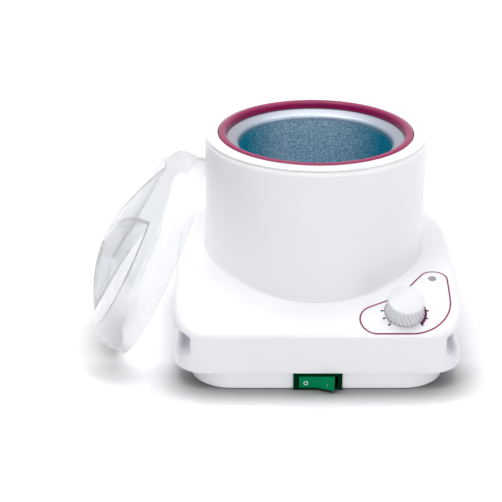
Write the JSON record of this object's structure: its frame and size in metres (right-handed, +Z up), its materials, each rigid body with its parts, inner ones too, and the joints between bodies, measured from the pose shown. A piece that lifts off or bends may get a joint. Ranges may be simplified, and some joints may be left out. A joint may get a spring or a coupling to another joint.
{
  "type": "wax warmer",
  "caption": "Salon wax warmer: heated metal well in a white housing with round sleeve, dial, lamp and rocker switch; domed lid leaning at its side.",
  "frame": {"origin": "on the sleeve's axis, at the floor", "axes": "+Z up along the sleeve and the well, -Y to the front with switch and dial, +X to the dial's side"},
  "size_m": [0.2312, 0.1893, 0.1355],
  "materials": {
    "shell_white": "gloss",
    "tray_white": "gloss",
    "trim_maroon": "gloss",
    "well_aluminium": "spun",
    "silicone": "matt",
    "plated_steel": "zinc plated",
    "copper": "bare copper",
    "brass": "bare",
    "knob_grey": "gloss",
    "lens_grey": "clear smoked",
    "lamp_amber": "clear",
    "switch_dark_green": "gloss",
    "rocker_green": "translucent gloss",
    "black_plastic": "fine texture",
    "block_white": "satin",
    "foot_rubber": "matt",
    "lead_brown": "sleeved",
    "lead_blue": "sleeved",
    "lead_earth": "sleeved",
    "lid_clear": "clear, slightly milky"
  },
  "bodies": {
    "housing": {"housing_shell": "shell_white", "collar_ring": "shell_white", "base_tray": "tray_white", "trim_ring": "trim_maroon", "heating_well": "well_aluminium", "well_gasket": "silicone", "heater_band": "plated_steel", "band_clamp": "plated_steel", "heater_terminals": "brass", "well_bracket": "plated_steel", "well_nut": "plated_steel", "earth_tag": "brass", "sensing_bulb": "copper", "bulb_clip": "plated_steel", "capillary_tube": "copper", "thermal_fuse": "plated_steel", "fuse_clip": "plated_steel", "thermostat_body": "block_white", "thermostat_nut": "plated_steel", "lamp_lens": "lens_grey", "lamp_body": "lamp_amber", "lamp_clip": "plated_steel", "switch_bezel": "switch_dark_green", "switch_terminals": "brass", "mains_inlet": "black_plastic", "inlet_pins": "brass", "terminal_block": "block_white", "lead_live": "lead_brown", "lead_neutral": "lead_blue", "lead_earth": "lead_earth", "lead_switched": "lead_brown", "lead_heater": "lead_brown", "lead_return": "lead_blue", "rubber_feet": "foot_rubber", "housing_screws": "plated_steel"},
    "dial": {"control_knob": "knob_grey", "thermostat_shaft": "plated_steel"},
    "rocker": {"switch_rocker": "rocker_green"},
    "lid": {"lid_dome": "lid_clear"}
  },
  "joints": [
    {"name": "knob_turn", "type": "hinge", "parent": "housing", "child": "dial", "pos_m": [0.0528, -0.0761, 0.04536], "axis": [0, -0.4383, 0.8988], "range_deg": [-157, 113]},
    {"name": "rocker_tilt", "type": "hinge", "parent": "housing", "child": "rocker", "pos_m": [0, -0.08967, 0.0056], "axis": [0, 0, 1], "range_deg": [0, 24]},
    {"name": "lid_lift", "type": "slide", "parent": "housing", "child": "lid", "axis": [0, 0, 1], "range_m": [0, 0.12]}
  ]
}
